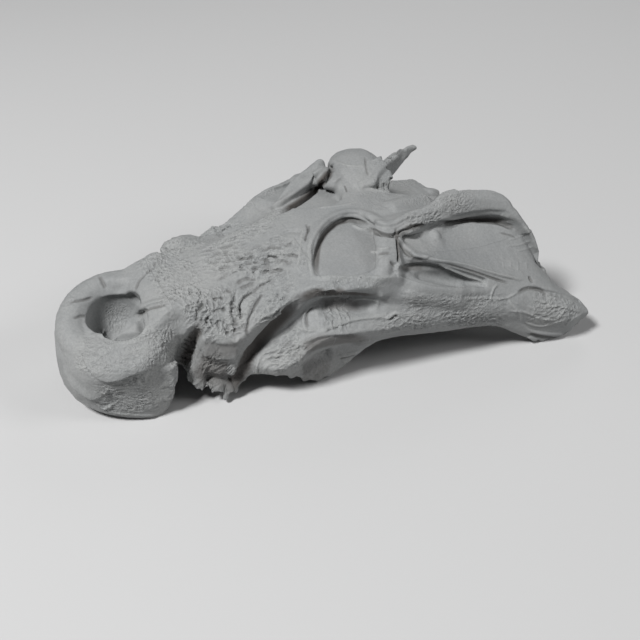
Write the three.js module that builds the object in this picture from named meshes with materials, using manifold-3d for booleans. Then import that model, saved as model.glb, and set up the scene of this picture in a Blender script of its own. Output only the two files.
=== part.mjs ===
// Fossil crocodile cranium, life size, without its lower jaw.
// Millimetres. The snout tip points to -Y, the animal's left is +X, +Z is up.
// Inside this file y runs back from the snout tip and z up from the plane of the tooth row;
// the finished group is then tilted and shifted to the way the skull rests on a table.
import * as THREE from "three";
import { mergeVertices } from "three/addons/utils/BufferGeometryUtils.js";
import Module from "manifold-3d";

const wasm = await Module();
wasm.setup();

// Driving dimensions
const sutureGap = 0.3;
const frontY = 14;
const notchY = 124;
const backY = 562;

// Solids

function solidOf(geometry) {
  const bare = new THREE.BufferGeometry()
    .setAttribute("position", geometry.getAttribute("position"))
    .setIndex(geometry.index);
  const merged = mergeVertices(bare, 1e-3);
  const build = (corners) =>
    new wasm.Manifold(
      new wasm.Mesh({
        numProp: 3,
        vertProperties: merged.attributes.position.array,
        triVerts: new Uint32Array(corners),
      }),
    );
  const corners = Array.from(merged.index.array);
  const solid = build(corners);
  if (solid.volume() > 0) return solid;
  return build(corners.map((_, i) => corners[i - (i % 3) + ((3 - (i % 3)) % 3)]));
}

function geometryOf(solid) {
  const mesh = solid.getMesh();
  const geometry = new THREE.BufferGeometry()
    .setAttribute("position", new THREE.BufferAttribute(new Float32Array(mesh.vertProperties), 3))
    .setIndex(new THREE.BufferAttribute(new Uint32Array(mesh.triVerts), 1));
  return geometry;
}

function placed(geometry, { at = [0, 0, 0], turn = [0, 0, 0], scale = [1, 1, 1] }) {
  const matrix = new THREE.Matrix4().compose(
    new THREE.Vector3(...at),
    new THREE.Quaternion().setFromEuler(new THREE.Euler(...turn)),
    new THREE.Vector3(...scale),
  );
  return geometry.applyMatrix4(matrix);
}

// A smooth curve of one value through a few [place, value] pairs.
function along(pairs) {
  const slope = (i) => {
    const [a, b] = [pairs[Math.max(i - 1, 0)], pairs[Math.min(i + 1, pairs.length - 1)]];
    return (b[1] - a[1]) / (b[0] - a[0]);
  };
  return (place) => {
    let i = pairs.findIndex(([at]) => at > place) - 1;
    if (i < -1) i = pairs.length - 2;
    i = Math.min(Math.max(i, 0), pairs.length - 2);
    const [[x0, v0], [x1, v1]] = [pairs[i], pairs[i + 1]];
    const span = x1 - x0;
    const t = Math.min(Math.max((place - x0) / span, 0), 1);
    const [m0, m1] = [slope(i) * span, slope(i + 1) * span];
    return (
      (2 * t ** 3 - 3 * t ** 2 + 1) * v0 +
      (t ** 3 - 2 * t ** 2 + t) * m0 +
      (3 * t ** 2 - 2 * t ** 3) * v1 +
      (t ** 3 - t ** 2) * m1
    );
  };
}

// Closes a stack of rings, all with the same number of points, into one body.
function skin(rings) {
  const sides = rings[0].length;
  const middle = (ring) =>
    ring.reduce((sum, p) => sum.add(p), new THREE.Vector3()).divideScalar(ring.length);
  const points = [...rings.flat(), middle(rings[0]), middle(rings.at(-1))];
  const [first, last] = [points.length - 2, points.length - 1];
  const faces = [];
  for (let s = 0; s < sides; s++) {
    const next = (s + 1) % sides;
    for (let r = 0; r < rings.length - 1; r++) {
      const [a, b] = [r * sides + s, r * sides + next];
      const [c, d] = [a + sides, b + sides];
      faces.push(a, b, d, a, d, c);
    }
    const tail = (rings.length - 1) * sides;
    faces.push(first, next, s, last, tail + s, tail + next);
  }
  const geometry = new THREE.BufferGeometry().setFromPoints(points);
  geometry.setIndex(faces);
  return solidOf(geometry);
}

const power = (value, exponent) => Math.sign(value) * Math.abs(value) ** exponent;

// A bar along a curve. Each stop is [x, y, z, half width, half height]; width lies across `up`.
function bar(stops, { steps = 3 * (stops.length - 1), sides = 10, up = [0, 0, 1], square = 2.4 } = {}) {
  const path = new THREE.CatmullRomCurve3(stops.map(([x, y, z]) => new THREE.Vector3(x, y, z)));
  const girth = new THREE.CatmullRomCurve3(stops.map(([, , , w, h]) => new THREE.Vector3(w, h, 0)));
  const upright = new THREE.Vector3(...up).normalize();
  const rings = [];
  for (let i = 0; i <= steps; i++) {
    const t = i / steps;
    const at = path.getPoint(t);
    const tangent = path.getTangent(t);
    const across = new THREE.Vector3().crossVectors(tangent, upright).normalize();
    const rise = new THREE.Vector3().crossVectors(across, tangent).normalize();
    const size = girth.getPoint(t);
    const ring = [];
    for (let s = 0; s < sides; s++) {
      const angle = (2 * Math.PI * (s + 0.5)) / sides;
      ring.push(
        at
          .clone()
          .addScaledVector(across, size.x * power(Math.cos(angle), 2 / square))
          .addScaledVector(rise, size.y * power(Math.sin(angle), 2 / square)),
      );
    }
    rings.push(ring);
  }
  return skin(rings);
}

// A two-sided body. `section(y)` lists one half's outline, from the middle of the roof
// round the flank to the middle of the underside, as [x, z] pairs.
function twoSided({ places, section, smooth = 2 }) {
  const rings = places.map((y) => {
    const half = section(y);
    const other = half.slice(1, -1).reverse().map(([x, z]) => [-x, z]);
    const outline = new THREE.CatmullRomCurve3(
      [...half, ...other].map(([x, z]) => new THREE.Vector3(x, y, z)), true, "centripetal",
    );
    const count = (2 * half.length - 2) * smooth;
    return Array.from({ length: count }, (_, i) => outline.getPoint(i / count));
  });
  return skin(rings);
}

const spread = (from, to, steps) =>
  Array.from({ length: steps + 1 }, (_, i) => from + ((to - from) * i) / steps);

function ball(at, radii, turn = [0, 0, 0], detail = 16) {
  const sphere = new THREE.SphereGeometry(1, detail, Math.round(detail * 0.7));
  return solidOf(placed(sphere, { at, turn, scale: radii }));
}

// A straight block whose side outline is given as [y, z] pairs
function prismAlongX(outline, from, to) {
  const shape = new THREE.Shape(outline.map(([y, z]) => new THREE.Vector2(y, z)));
  const block = new THREE.ExtrudeGeometry(shape, { depth: to - from, bevelEnabled: false });
  const turned = new THREE.Matrix4().set(0, 0, 1, from, 1, 0, 0, 0, 0, 1, 0, 0, 0, 0, 0, 1);
  return solidOf(block.applyMatrix4(turned));
}

const both = (make) => [make(1), make(-1)];
const joined = (solids) => solids.reduce((sum, solid) => sum.add(solid));

// Station lines of the face, each a place along y and a width or a height
const roofZ = along([
  [14, 22], [20, 35], [42, 48], [84, 57], [108, 70], [124, 77], [160, 80], [200, 86], [250, 95],
  [300, 104], [360, 106],
]);
const shoulderX = along([
  [14, 4], [20, 22], [42, 42], [84, 50], [124, 46], [160, 46], [200, 50], [250, 54], [300, 54],
  [360, 58],
]);
const shoulderDrop = along([
  [14, 1], [20, 1], [42, 0], [84, 0], [112, 0], [124, 1], [160, 5], [200, 13], [250, 12],
  [300, 4], [360, 0],
]);
const ridgeX = along([
  [14, 6], [20, 32], [42, 61], [84, 72], [124, 56], [145, 72], [172, 83], [200, 83], [238, 87],
  [284, 100], [313, 106], [345, 111], [360, 110],
]);
const ridgeZ = along([
  [14, 14], [20, 26], [42, 38], [84, 44], [124, 50], [145, 48], [172, 41], [200, 59], [238, 75],
  [284, 86], [313, 86], [345, 90], [360, 84],
]);
const recessX = along([
  [14, 9], [20, 36], [42, 66], [84, 78], [104, 72], [124, 48], [145, 66], [172, 76], [200, 74],
  [228, 77], [261, 80], [290, 88], [310, 97], [360, 116],
]);
const recessZ = along([
  [14, 4], [20, 8], [42, 14], [84, 16], [124, 30], [145, 28], [172, 22], [200, 22], [228, 37],
  [244, 46], [261, 57], [290, 63], [310, 63], [360, 62],
]);
const flankX = along([
  [14, 9], [20, 36], [42, 58], [84, 75], [104, 71], [124, 46], [145, 76], [165, 87], [187, 84],
  [203, 100], [228, 108], [244, 112], [270, 115], [300, 119], [360, 127],
]);
const flankZ = along([
  [14, -4], [20, -4], [42, -8], [84, -10], [124, 14], [160, 4], [187, 10], [203, 8], [228, 16],
  [244, 32], [270, 38], [300, 36], [330, 33], [360, 38],
]);
const insetX = along([
  [14, 8], [20, 32], [42, 56], [84, 73], [104, 68], [124, 45], [145, 75], [165, 86], [187, 83],
  [203, 99], [228, 104], [244, 101], [270, 100], [300, 108], [330, 116], [360, 124],
]);
const insetZ = along([
  [14, -7], [20, -10], [42, -16], [84, -22], [104, -18], [124, 8], [145, -3], [165, -8],
  [187, 2], [203, 3], [228, 4], [244, 10], [270, 10], [300, 15], [330, 19], [360, 24],
]);
const borderX = along([
  [14, 8], [20, 30], [42, 53], [84, 71], [104, 66], [124, 44], [140, 72], [165, 84], [187, 82],
  [203, 96], [228, 100], [250, 100], [286, 99], [302, 105], [330, 112], [360, 120],
]);
const borderZ = along([
  [14, -10], [20, -16], [42, -25], [90, -33], [108, -28], [124, 2], [140, -9], [152, -18],
  [170, -20], [187, -8], [203, -3], [228, -11], [240, -20], [252, -28], [272, -28], [288, -21],
  [303, -4], [320, 8], [360, 11],
]);
const palateZ = along([
  [14, -12], [20, -18], [32, -23], [46, -24], [80, -22], [108, -14], [124, 4], [222, -4],
  [300, 2], [360, 8],
]);

const faceSection = (y) => [
  [0, roofZ(y)],
  [shoulderX(y) * 0.5, roofZ(y) - shoulderDrop(y) * 0.2],
  [shoulderX(y), roofZ(y) - shoulderDrop(y)],
  [(shoulderX(y) + ridgeX(y)) / 2, (roofZ(y) - shoulderDrop(y) + ridgeZ(y)) / 2],
  [ridgeX(y), ridgeZ(y)],
  [recessX(y), recessZ(y)],
  [flankX(y), flankZ(y)],
  [insetX(y), insetZ(y)],
  [borderX(y), borderZ(y)],
  [borderX(y) * 0.7, palateZ(y)],
  [0, palateZ(y) + 2],
];

// Station lines of the back of the skull
const midZ = along([[330, 104], [380, 102], [430, 94], [480, 80], [562, 50]]);
const crestX = along([[330, 50], [360, 58], [440, 54], [490, 62], [510, 78], [530, 94], [562, 118]]);
const crestZ = along([
  [330, 104], [360, 110], [400, 119], [440, 126], [490, 119], [504, 107], [518, 86], [531, 56],
  [542, 22], [562, 2],
]);
const eaveX = along([[330, 60], [360, 68], [440, 66], [490, 76], [510, 86], [530, 100], [562, 124]]);
const eaveZ = along([
  [330, 98], [360, 104], [440, 106], [490, 104], [504, 98], [518, 77], [531, 47], [542, 16],
  [562, -2],
]);
const wallTopX = along([[330, 66], [360, 62], [440, 58], [490, 70], [516, 90], [562, 128]]);
const wallTopZ = along([[330, 90], [360, 94], [440, 94], [490, 92], [510, 74], [530, 34], [562, -2]]);
const edgeX = along([
  [330, 92], [354, 93], [370, 97], [393, 103], [444, 116], [501, 130], [540, 146], [562, 154],
]);
const edgeZ = along([
  [330, 88], [350, 94], [370, 92], [393, 83], [444, 62], [501, 40], [540, 14], [562, -2],
]);
const jugalX = along([[330, 120], [395, 132], [450, 140], [505, 152], [540, 161], [562, 162]]);
const jugalZ = along([[330, 38], [395, 34], [450, 28], [505, 8], [540, 0], [562, -6]]);
const jugalLowX = along([[330, 114], [395, 126], [450, 134], [505, 148], [540, 153], [562, 156]]);
const jugalLowZ = along([
  [330, 12], [395, 6], [450, -1], [480, -19], [505, -32], [540, -28], [562, -18],
]);
const innerX = along([[330, 90], [450, 104], [562, 112]]);
const innerZ = along([[330, 12], [450, 24], [505, 4], [562, -6]]);

const rearSection = (y) => [
  [0, midZ(y)],
  [crestX(y) - 26, midZ(y) + 1],
  [crestX(y), crestZ(y)],
  [eaveX(y), eaveZ(y)],
  [wallTopX(y), wallTopZ(y)],
  [edgeX(y), edgeZ(y)],
  [jugalX(y), jugalZ(y)],
  [(jugalX(y) + jugalLowX(y)) / 2 + 2, (jugalZ(y) + jugalLowZ(y)) / 2],
  [jugalLowX(y), jugalLowZ(y)],
  [innerX(y), innerZ(y)],
  [0, 10],
];

const jointFrom = 336;
const jointTo = 364;
function section(y) {
  const blend = THREE.MathUtils.smoothstep(y, jointFrom, jointTo);
  if (blend === 0) return faceSection(y);
  if (blend === 1) return rearSection(y);
  const [front, back] = [faceSection(y), rearSection(y)];
  return front.map(([x, z], i) => [x + (back[i][0] - x) * blend, z + (back[i][1] - z) * blend]);
}

const skullHull = () =>
  twoSided({
    places: [frontY, 16, 20, 28, ...spread(38, 116, 7), ...spread(124, 288, 18), ...spread(298, backY, 24)],
    section,
  });

// A plan outline, as [x, y] pairs, cut or filled straight up from one height to another
function prismUp(outline, from, to) {
  const shape = new THREE.Shape(outline.map(([x, y]) => new THREE.Vector2(x, y)));
  const block = new THREE.ExtrudeGeometry(shape, { depth: to - from, bevelEnabled: false });
  return solidOf(placed(block, { at: [0, 0, from] }));
}

// The eye socket: a shallow basin with an arched inner edge and an oblique front edge.
// Its floor slopes out and down to the level of the cheek.
const orbitPlan = [
  [95, 258], [80, 261], [63, 267], [42, 280], [25, 296], [15, 314], [12, 331], [18, 344],
  [36, 352], [62, 356], [95, 352],
];
const orbitFloorZ = 97;
const orbitFloorSlope = -0.12;
const orbitHeight = 60;
function orbit(side) {
  const outline = new THREE.Shape(orbitPlan.map(([x, y]) => new THREE.Vector2(side * x, y)));
  const block = new THREE.ExtrudeGeometry(outline, { depth: orbitHeight, bevelEnabled: false });
  const slope = side * orbitFloorSlope;
  const leaning = new THREE.Matrix4()
    .set(1, 0, 0, 0, 0, 1, 0, 0, slope, 0, 1, orbitFloorZ, 0, 0, 0, 1);
  return solidOf(block.applyMatrix4(leaning));
}

// The bones that the two sides share are given for the left and mirrored
const sided = (side, stops) => stops.map(([x, ...rest]) => [side * x, ...rest]);

// The lower temporal opening, a trough behind the bar that closes the eye socket
const infratemporalPath = [
  [101, 350, 90, 12, 6], [108, 372, 80, 12, 10], [114, 394, 70, 12, 12],
  [121, 420, 60, 11, 9], [126, 440, 53, 9, 4],
];
const infratemporal = (side) => bar(sided(side, infratemporalPath), { steps: 10 });

const postorbitalPath = [[48, 360, 103, 9, 17], [78, 346, 97, 8, 14], [104, 332, 84, 9, 16]];
const postorbitalBar = (side) =>
  bar(sided(side, postorbitalPath), { up: [0, 1, 0], sides: 12, steps: 8, square: 2 });

// The nostril: a thick raised ring round a deep bowl, both leaning to the front and the left
const nostrilTurn = [0.12, 0.2, 0];
const nostrilAt = [0, 78, 49];
const nostrilWall = 0.34;
const nostrilRadius = 46;
const ringHeight = 13;
const ringDrop = 4;
const bowlSize = [31, 30, 36];
const nostrilRing = () => {
  const ring = new THREE.TorusGeometry(1, nostrilWall, 12, 30);
  const [x, y, z] = nostrilAt;
  const scale = [nostrilRadius, nostrilRadius, ringHeight / nostrilWall];
  return solidOf(placed(ring, { at: [x, y, z - ringDrop], turn: nostrilTurn, scale }));
};
const nostrilHole = () => ball(nostrilAt, bowlSize, nostrilTurn, 24);

// The hollow back between the two jaw joints
const occiputEdge = [[60, 494], [84, 518], [98, 533], [112, 543], [130, 551], [150, 562], [150, 700]];
const occiputCut = () => {
  const mirrored = occiputEdge.toReversed().map(([x, y]) => [-x, y]);
  return prismUp([[0, 484], ...occiputEdge, ...mirrored], -200, 200);
};

// Openings of the palate
const choana = () => ball([0, 448, 8], [13, 20, 15]);
const palatePit = (side) => ball([side * 52, 320, 2], [21, 42, 20]);

// The wings of the pterygoid, which hang down beside the throat
const flangePath = [
  [10, 418, 12, 34, 12], [36, 410, 2, 32, 8], [58, 398, -17, 26, 7], [64, 392, -29.6, 16, 6],
];
const flange = (side) => bar(sided(side, flangePath), { sides: 12, steps: 8 });

// The right rear corner of the table is broken away down to a sloping face
const breakSide = [[396, 66], [450, 40], [500, 20], [600, -10], [600, 300], [396, 300]];
const breakPlan = [
  [-16, 402], [-2, 432], [4, 500], [4, 600], [-200, 600], [-200, 440],
  [-104, 434], [-62, 416], [-34, 412],
];
const breakage = () => prismAlongX(breakSide, -200, 6).intersect(prismUp(breakPlan, -100, 300));

// The right jaw joint is broken off obliquely
const jointBreak = () => {
  const block = new THREE.BoxGeometry(160, 120, 200);
  return solidOf(placed(block, { at: [-150, 590, 20], turn: [0, 0, 0.25] }));
};

// What is left of the table's right front corner is swollen
const cornerPath = [
  [-26, 388, 98, 22, 10], [-56, 391, 99, 31, 20], [-88, 395, 94, 30, 23], [-106, 398, 86, 17, 14],
];
const corner = () => bar(cornerPath, { sides: 14, steps: 9 });

// A long splinter of the right eave still stands behind that corner
const spikePath = [
  [-58, 400, 98, 15, 14], [-68, 430, 93, 9, 12], [-77, 453, 98, 6, 8], [-86, 480, 103, 5, 3],
];
const spike = () => bar(spikePath, { sides: 8, steps: 10 });

// The right cheek stands up as a rounded rim beside its eye socket
const rightRimPath = [
  [-50, 276, 84, 7, 8], [-70, 303, 87, 8, 12], [-84, 330, 93, 8, 13], [-93, 358, 98, 8, 12],
];
const rightRim = () => bar(rightRimPath, { steps: 8 });

// A knob on the right upper jaw, above its biggest tooth
const knob = () => ball([-72, 176, 60], [13, 24, 11]);

// The ball that met the first neck bone
const condyle = () => ball([0, 488, 54], [14, 16, 13]);

// Worn tooth stumps: [place along the jaw, radius, height below the border]
const teeth = [
  [137, 5, 3], [148, 6, 4], [160, 7, 4], [171, 5, 3], [181, 4, 3],
  [210, 4, 3], [226, 6, 4], [241, 5, 3], [257, 5, 3], [272, 5, 3],
];
const toothRoot = 9;
const toothTaper = 0.55;
function tooth(side, [y, radius, height]) {
  const length = toothRoot + height;
  const cone = new THREE.CylinderGeometry(radius, radius * toothTaper, length, 10);
  const at = [side * (borderX(y) - 3), y, borderZ(y) - height + length / 2];
  return solidOf(placed(cone, { at, turn: [Math.PI / 2, 0, 0] }));
}
const toothRow = (side) => joined(teeth.map((one) => tooth(side, one)));

const whole = () => {
  const bone = joined([
    skullHull(), nostrilRing(), corner(), knob(), ...both(flange), ...both(toothRow),
  ]);
  const hollows = joined([
    nostrilHole(), choana(), occiputCut(), breakage(), jointBreak(),
    ...both(palatePit), ...both(orbit), ...both(infratemporal),
  ]);
  const added = [condyle(), rightRim(), spike(), ...both(postorbitalBar)];
  return joined([bone.subtract(hollows), ...added]);
};

// Sutures: where one bone meets the next
const noseTop = 50;
const noseHalf = 22;
const faceY = 268;
const templeY = 372;
const cheekX = 90;
const browZ = 66;
const eaveFloor = 90;
const caseHalf = 34;
const palateTop = 18;
const jointY = 490;
const far = 900;

// A block between the given planes, each drawn in by half a suture
function between([x0, x1], [y0, y1], [z0, z1]) {
  const size = [x1 - x0, y1 - y0, z1 - z0].map((length) => length - sutureGap);
  const at = [(x0 + x1) / 2, (y0 + y1) / 2, (z0 + z1) / 2];
  return solidOf(placed(new THREE.BoxGeometry(...size), { at }));
}
const flip = ([from, to], side) => (side > 0 ? [from, to] : [-to, -from]);
const anyX = [-far, far];
const anyZ = [-far, far];

function largest(solid) {
  const pieces = solid.decompose();
  return pieces.reduce((best, piece) => (piece.volume() > best.volume() ? piece : best));
}

const body = whole();
const nose = between([-noseHalf, noseHalf], [notchY, faceY], [noseTop, far]);
const noseRoom = between(
  [-noseHalf - sutureGap, noseHalf + sutureGap], [notchY - 1, faceY + 1], [noseTop - sutureGap, far],
);
const maxilla = (side) =>
  body.intersect(between(flip([0, far], side), [notchY, faceY], anyZ)).subtract(noseRoom);
const temporal = (side) =>
  body.intersect(
    joined([
      between(flip([caseHalf, cheekX], side), [templeY, far], [palateTop, side > 0 ? eaveFloor : far]),
      between(flip([caseHalf, far], side), [jointY, far], [-far, eaveFloor]),
    ]),
  );

const bones = {
  premaxilla: body.intersect(between(anyX, [-far, notchY], anyZ)),
  nasal: body.intersect(nose),
  maxilla_left: maxilla(1),
  maxilla_right: maxilla(-1),
  frontal: body.intersect(between([-cheekX, cheekX], [faceY, templeY], [browZ, far])),
  palatine: body.intersect(between([-cheekX, cheekX], [faceY, templeY], [-far, browZ])),
  jugal_left: body.intersect(between([cheekX, far], [faceY, jointY], anyZ)),
  jugal_right: body.intersect(between([-far, -cheekX], [faceY, jointY], anyZ)),
  skull_table: body.intersect(between([-caseHalf, cheekX], [templeY, far], [eaveFloor, far])),
  braincase: body.intersect(between([-caseHalf, caseHalf], [templeY, far], [palateTop, eaveFloor])),
  pterygoid: body.intersect(between([-cheekX, cheekX], [templeY, jointY], [-far, palateTop])),
  temporal_left: temporal(1),
  temporal_right: temporal(-1),
};

const skull = new THREE.Group();
for (const [name, solid] of Object.entries(bones)) {
  const material = new THREE.MeshStandardMaterial({ color: 0x8e9092, roughness: 0.85, metalness: 0 });
  const mesh = new THREE.Mesh(geometryOf(largest(solid)), material);
  mesh.name = name;
  skull.add(mesh);
}

// The origin goes under the middle of the skull, level with its lowest points
const bounds = new THREE.Box3().setFromObject(skull);
const middle = bounds.getCenter(new THREE.Vector3());
skull.position.set(-middle.x, -middle.y, -bounds.min.z);
skull.updateMatrixWorld(true);

export default skull;
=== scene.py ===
import bpy
import math
import numpy
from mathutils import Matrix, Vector
from mathutils.bvhtree import BVHTree


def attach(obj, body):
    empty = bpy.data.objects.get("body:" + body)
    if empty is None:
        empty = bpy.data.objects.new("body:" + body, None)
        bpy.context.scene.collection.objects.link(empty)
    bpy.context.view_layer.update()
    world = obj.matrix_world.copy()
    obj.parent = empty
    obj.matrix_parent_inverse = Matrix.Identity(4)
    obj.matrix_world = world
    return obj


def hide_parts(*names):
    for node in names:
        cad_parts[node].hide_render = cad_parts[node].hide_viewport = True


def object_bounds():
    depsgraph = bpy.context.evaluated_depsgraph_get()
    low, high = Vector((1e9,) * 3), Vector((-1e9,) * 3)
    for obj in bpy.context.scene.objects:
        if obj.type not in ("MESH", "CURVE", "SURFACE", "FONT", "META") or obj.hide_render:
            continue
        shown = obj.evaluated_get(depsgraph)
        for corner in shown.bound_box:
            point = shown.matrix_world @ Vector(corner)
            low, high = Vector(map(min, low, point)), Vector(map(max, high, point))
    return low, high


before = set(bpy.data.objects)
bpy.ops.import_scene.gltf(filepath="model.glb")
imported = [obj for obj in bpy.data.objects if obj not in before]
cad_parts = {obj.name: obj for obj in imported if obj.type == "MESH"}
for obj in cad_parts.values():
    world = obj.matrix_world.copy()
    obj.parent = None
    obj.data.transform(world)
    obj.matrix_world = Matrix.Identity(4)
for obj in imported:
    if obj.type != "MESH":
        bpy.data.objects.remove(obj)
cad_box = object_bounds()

# Camera.
# It looks down on the skull from its front left, as the photograph does.
photo_width, film = 640, 36
lens, middle_x, middle_y = 924, 296.5, 263.3
aim = Vector((-0.00206, -0.008, 0.08318))
turn, rise, reach = math.radians(63.7), math.radians(35.6), 1.0
away = Vector((math.sin(turn) * math.cos(rise), -math.cos(turn) * math.cos(rise), math.sin(rise)))
bpy.ops.object.camera_add(location=aim + away * reach)
camera = bpy.context.object
camera.name = "camera"
camera.rotation_mode = "QUATERNION"
camera.rotation_quaternion = (-away).to_track_quat("-Z", "Y")
camera.data.sensor_width = film
camera.data.lens = lens / photo_width * film
camera.data.shift_x = 0.0367
camera.data.shift_y = -0.0886
camera.data.clip_start = 0.05
bpy.context.scene.camera = camera

# Floor and light.
# A plain pale floor, a soft lamp high in front of the skull, and weaker ones behind it on both
# sides.
bpy.ops.object.select_all(action="DESELECT")
bpy.ops.mesh.primitive_plane_add(size=12, location=(0, 0, -0.0001))
floor = bpy.context.object
floor.name = "floor"
paper = bpy.data.materials.new("pale_paper")
paper.use_nodes = True
paper.node_tree.nodes["Principled BSDF"].inputs["Base Color"].default_value = (0.5, 0.5, 0.5, 1)
paper.node_tree.nodes["Principled BSDF"].inputs["Roughness"].default_value = 0.9
floor.data.materials.append(paper)


def lamp(name, place, size, power):
    bpy.ops.object.light_add(type="AREA", location=place)
    light = bpy.context.object
    light.name = name
    light.data.size = size
    light.data.energy = power
    light.rotation_mode = "QUATERNION"
    light.rotation_quaternion = (aim - Vector(place)).to_track_quat("-Z", "Y")


lamp("key_light", (0.4, -2.1, 3.15), 0.7, 172)
lamp("fill_light", (1.5, 1.9, 1.7), 1.0, 25)
lamp("back_light", (-1.2, 1.3, 1.2), 1.0, 5)
world = bpy.data.worlds.new("studio")
bpy.context.scene.world = world
world.use_nodes = True
world.node_tree.nodes["Background"].inputs["Color"].default_value = (0.95, 0.97, 1.0, 1)
world.node_tree.nodes["Background"].inputs["Strength"].default_value = 0.06
bpy.context.scene.view_settings.view_transform = "Standard"

# The stone body of the cranium.
# Bone turned to grey stone, carved here as one body so that every ridge runs on from bone to bone;
# the sections below finish its surface region by region, and the later ones part each bone from the
# body.
full_grain = 0.001
grain = full_grain
smoothing = 36
overlap = 0.0002
bpy.ops.object.select_all(action="DESELECT")
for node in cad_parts.values():
    node.select_set(True)
bpy.context.view_layer.objects.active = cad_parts["frontal"]
bpy.ops.object.duplicate()
bpy.context.view_layer.objects.active = bpy.context.selected_objects[0]
bpy.ops.object.join()
stone = bpy.context.object
stone.name = "stone"
stone.parent = None
bpy.ops.object.transform_apply(location=True, rotation=True, scale=True)
stone.data.materials.clear()
bpy.ops.object.mode_set(mode="EDIT")
bpy.ops.mesh.select_all(action="SELECT")
bpy.ops.mesh.remove_doubles(threshold=1e-5)
bpy.ops.transform.shrink_fatten(value=overlap)
bpy.ops.object.mode_set(mode="OBJECT")
melt = stone.modifiers.new("melt", "REMESH")
melt.mode = "VOXEL"
melt.voxel_size = grain
bpy.ops.object.modifier_apply(modifier="melt")
soften = stone.modifiers.new("soften", "SMOOTH")
soften.factor = 0.5
soften.iterations = round(smoothing * (full_grain / grain) ** 2)
bpy.ops.object.modifier_apply(modifier="soften")
for name in ("relief", "wear", "matrix"):
    stone.data.attributes.new(name, "FLOAT", "POINT")
relief_of, wear_of, painted_shade_of = (numpy.zeros(len(stone.data.vertices)) for _ in range(3))

# Snout tip.
# The two premaxillae, one swollen ring of bone round the nostril with a flat rim at the back,
# a lip in front and an undercut toothless border.
bpy.context.view_layer.update()
to_right, to_top = (camera.matrix_world.to_3x3().col[i] for i in (0, 1))
skin = BVHTree.FromObject(stone, bpy.context.evaluated_depsgraph_get())
midline = -0.002


def places(mesh, what="co"):
    flat = numpy.empty(len(mesh.vertices) * 3, "f4")
    mesh.vertices.foreach_get(what, flat)
    return flat.reshape(-1, 3)


def put(spots, heights=0):
    """Moves the stone's points, and notes how far each stands above or below the plain surface."""
    inside = numpy.clip(spots, numpy.array(cad_box[0]) + 1e-5, numpy.array(cad_box[1]) - 1e-5)
    stone.data.vertices.foreach_set("co", inside.astype("f4").ravel())
    relief_of[:] += heights
    stone.data.attributes["relief"].data.foreach_set("value", (relief_of * 1000).astype("f4"))
    stone.data.attributes["wear"].data.foreach_set("value", wear_of.astype("f4"))
    stone.data.attributes["matrix"].data.foreach_set("value", painted_shade_of.astype("f4"))
    stone.data.update()


def on_stone(x, y):
    """Where the surface shows at that place of the camera's frame, 640 across."""
    ray = -away + to_right * ((x - middle_x) / lens) - to_top * ((y - middle_y) / lens)
    return skin.ray_cast(camera.location, ray.normalized())[0]


def feel_again():
    """Takes the surface as it stands now for the places that come after."""
    global skin
    bpy.context.view_layer.update()
    skin = BVHTree.FromObject(stone, bpy.context.evaluated_depsgraph_get())


def traced(marks, other_side=False):
    """Follows a line drawn in the frame over the stone. Gives its points and their directions."""
    bends, spacing = 8, 0.5
    knots = numpy.array(marks, "f8")
    if len(knots) > 2:
        ends = numpy.vstack([2 * knots[0] - knots[1], knots, 2 * knots[-1] - knots[-2]])
        steps = numpy.linspace(0, 1, bends + 1)[:-1, None]
        curve = []
        for a, b, c, d in zip(ends, ends[1:], ends[2:], ends[3:]):
            bow = 2 * b + (c - a) * steps + (2 * a - 5 * b + 4 * c - d) * steps ** 2
            curve.append((bow + (3 * b - a - 3 * c + d) * steps ** 3) / 2)
        knots = numpy.vstack(curve + [knots[-1:]])
    found = []
    for a, b in zip(knots, knots[1:] if len(knots) > 1 else knots):
        count = max(int(numpy.linalg.norm(b - a) / spacing), 1)
        for k in range(count):
            spot = on_stone(*(a + (b - a) * k / count))
            if spot:
                if other_side:
                    spot = skin.find_nearest(Vector((2 * midline - spot.x, spot.y, spot.z)))[0]
                found.append(spot)
    found = numpy.array(found).reshape(-1, 3)
    ways = numpy.gradient(found, axis=0) if len(found) > 1 else numpy.zeros_like(found)
    return found, ways


def reach_of(spots, normals, marks, width, other_side=False, core=0):
    """How strongly a stroke of that width, in millimetres, touches each point, from 0 to 1."""
    line, ways = traced(marks, other_side)
    left, right = (numpy.atleast_1d(width) * [1, 1]) / 1000
    far = max(left, right)
    touch = numpy.zeros(len(spots))
    if not len(line):
        return touch
    near = numpy.all((spots > line.min(0) - far) & (spots < line.max(0) + far), axis=1).nonzero()[0]
    most_pairs, shortest, taper, blunt = 4000000, 12, 6, 0.25
    for part in numpy.array_split(near, max(len(near) * len(line) // most_pairs, 1)):
        gaps = spots[part][:, None] - line[None]
        squares = (gaps ** 2).sum(2)
        best = squares.argmin(1)
        gap = gaps[numpy.arange(len(part)), best]
        beside = (gap * numpy.cross(normals[part], ways[best])).sum(1)
        share = numpy.sqrt(squares.min(1)) / numpy.where(beside > 0, left, right)
        share = numpy.clip((share - core) / (1 - core), 0, 1)
        fade = 1
        if len(line) > shortest:
            run = best / (len(line) - 1)
            fade = numpy.clip(numpy.minimum(run, 1 - run) * taper + blunt, 0, 1)
        touch[part] = (1 - share ** 2) ** 2 * fade
    return touch


def carve(strokes):
    """Raises or sinks the stone along strokes of (width, height, marks), in millimetres."""
    spots, normals = places(stone.data), places(stone.data, "normal")
    heights, fine = numpy.zeros(len(spots)), numpy.zeros(len(spots))
    widest_ridge = 7
    for width, height, marks in strokes:
        swell = reach_of(spots, normals, marks, width) * height / 1000
        heights += swell
        if numpy.max(width) < widest_ridge:
            fine += swell
    put(spots + normals * heights[:, None], fine)


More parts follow.
